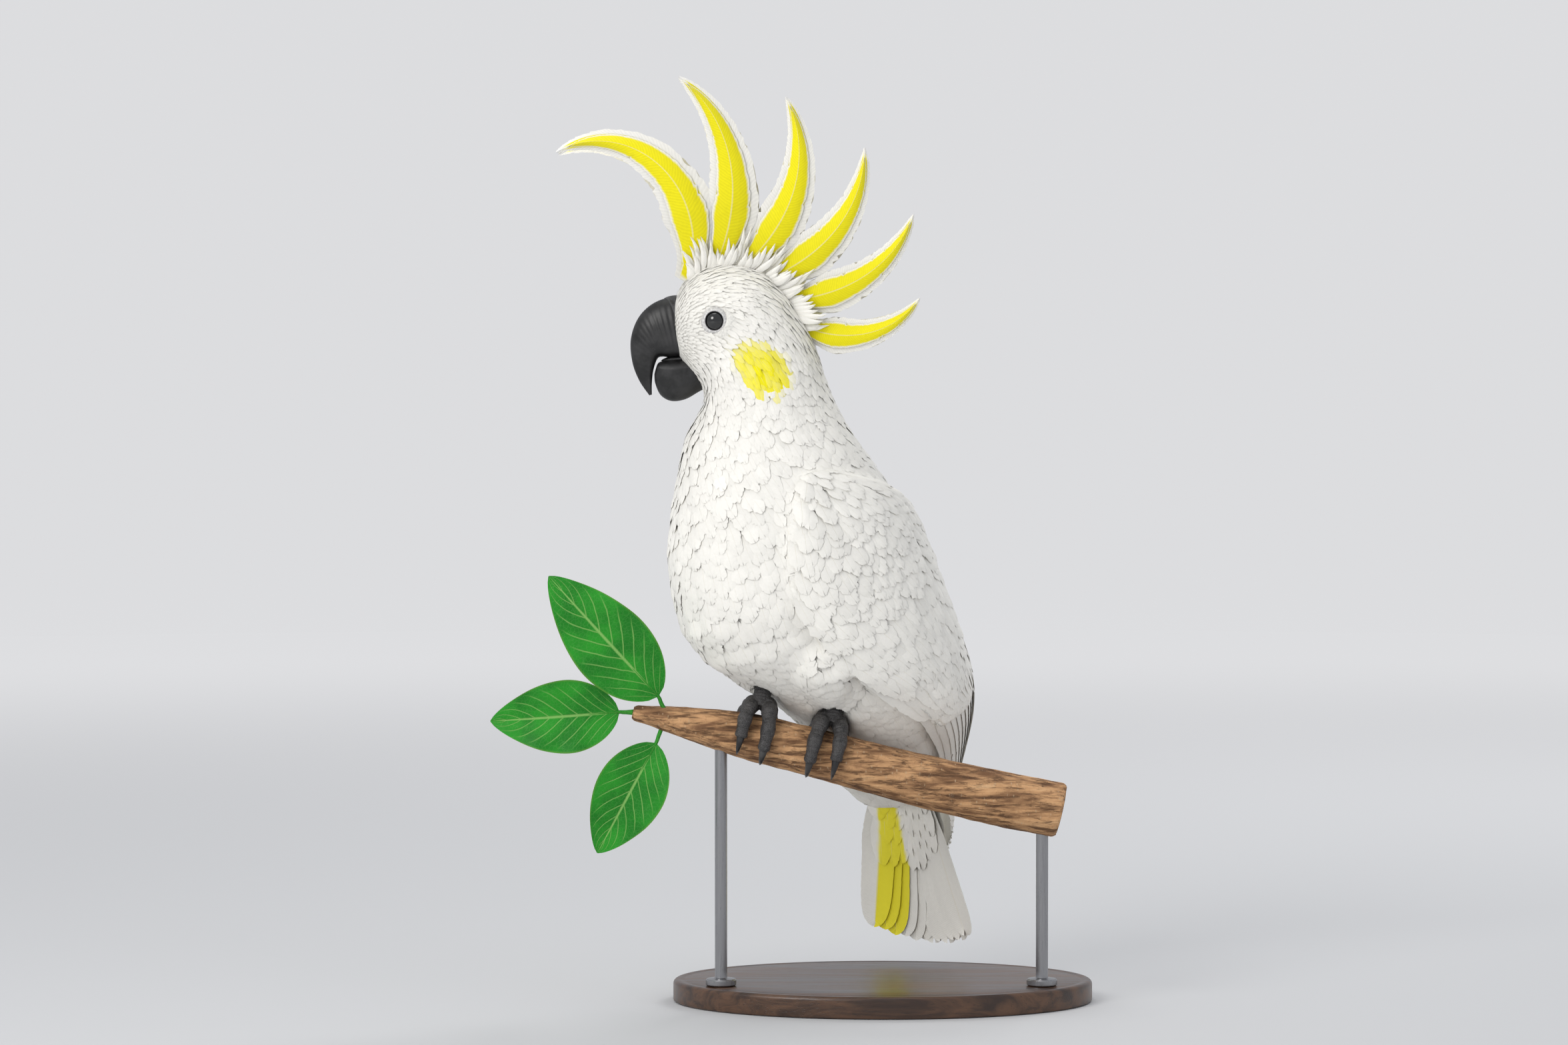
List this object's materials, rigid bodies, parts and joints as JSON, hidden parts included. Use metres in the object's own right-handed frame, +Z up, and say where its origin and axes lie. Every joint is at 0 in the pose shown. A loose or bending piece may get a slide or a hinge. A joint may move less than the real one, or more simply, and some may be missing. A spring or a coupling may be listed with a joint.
{
  "type": "sulphur-crested cockatoo model",
  "caption": "Still life-size model of a sulphur-crested cockatoo with raised yellow crest, gripping a cut length of leafy branch on a plain display stand.",
  "frame": {"origin": "centre of the underside of the stand's base, on the floor", "axes": "+Z up through the standing bird; the bird faces -X, so its left side is towards -Y"},
  "size_m": [0.3941, 0.2092, 0.6018],
  "materials": {
    "plumage": "white feathers, a little warm, matt with a soft sheen",
    "crest_yellow": "sulphur-yellow feathers, matt",
    "bill_horn": "near-black horn, satin with growth ridges",
    "foot_skin": "dark grey scaly skin, dusty satin",
    "eye": "dark brown iris under a glossy clear cornea",
    "bark": "brown bark, rough, with paler sawn end",
    "leaf": "green leaf, satin, with paler veins",
    "base_wood": "dark stained wood, satin",
    "rod_steel": "brushed"
  },
  "bodies": {
    "root": {"bill_lower": "bill_horn", "bill_upper": "bill_horn", "claw_left_1": "bill_horn", "claw_left_2": "bill_horn", "claw_left_3": "bill_horn", "claw_left_4": "bill_horn", "claw_right_1": "bill_horn", "claw_right_2": "bill_horn", "claw_right_3": "bill_horn", "claw_right_4": "bill_horn", "crest_left_1": "crest_yellow", "crest_left_2": "crest_yellow", "crest_left_3": "crest_yellow", "crest_left_4": "crest_yellow", "crest_left_5": "crest_yellow", "crest_left_6": "crest_yellow", "crest_right_1": "crest_yellow", "crest_right_2": "crest_yellow", "crest_right_3": "crest_yellow", "crest_right_4": "crest_yellow", "crest_right_5": "crest_yellow", "crest_right_6": "crest_yellow", "eye_left": "eye", "eye_right": "eye", "foot_left": "foot_skin", "foot_right": "foot_skin", "head": "plumage", "leaf_lower": "leaf", "leaf_middle": "leaf", "leaf_upper": "leaf", "neck": "plumage", "perch_branch": "bark", "primaries_left": "plumage", "primaries_right": "plumage", "stand_base": "base_wood", "stand_rod_1": "rod_steel", "stand_rod_2": "rod_steel", "tail": "plumage", "thigh_left": "plumage", "thigh_right": "plumage", "trunk": "plumage", "wing_left": "plumage", "wing_right": "plumage"}
  },
  "joints": []
}
